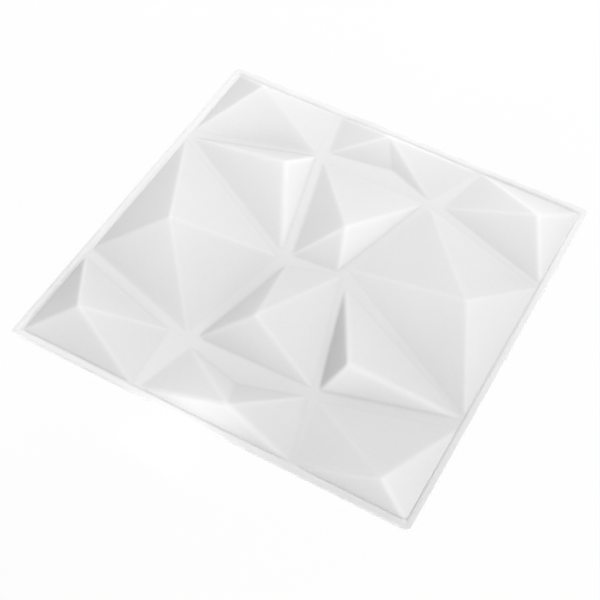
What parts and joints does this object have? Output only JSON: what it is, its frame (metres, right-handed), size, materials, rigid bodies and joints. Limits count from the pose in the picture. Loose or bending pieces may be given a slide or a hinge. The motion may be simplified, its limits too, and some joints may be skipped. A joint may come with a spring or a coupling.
{
  "type": "3d wall panel tile",
  "caption": "Square decorative wall tile formed from one thin sheet, with a faceted pyramid relief, a hollow back and a raised lip round its edge.",
  "frame": {"origin": "middle of the panel's back, in the plane of the wall or floor that it lies on", "axes": "+Z out of the wall, towards the viewer; +X and +Y along the panel's edges"},
  "size_m": [0.3, 0.3, 0.0137],
  "materials": {
    "white_plastic": "matt white rigid plastic with a fine grain, as formed"
  },
  "bodies": {
    "root": {"panel_sheet": "white_plastic"}
  },
  "joints": []
}
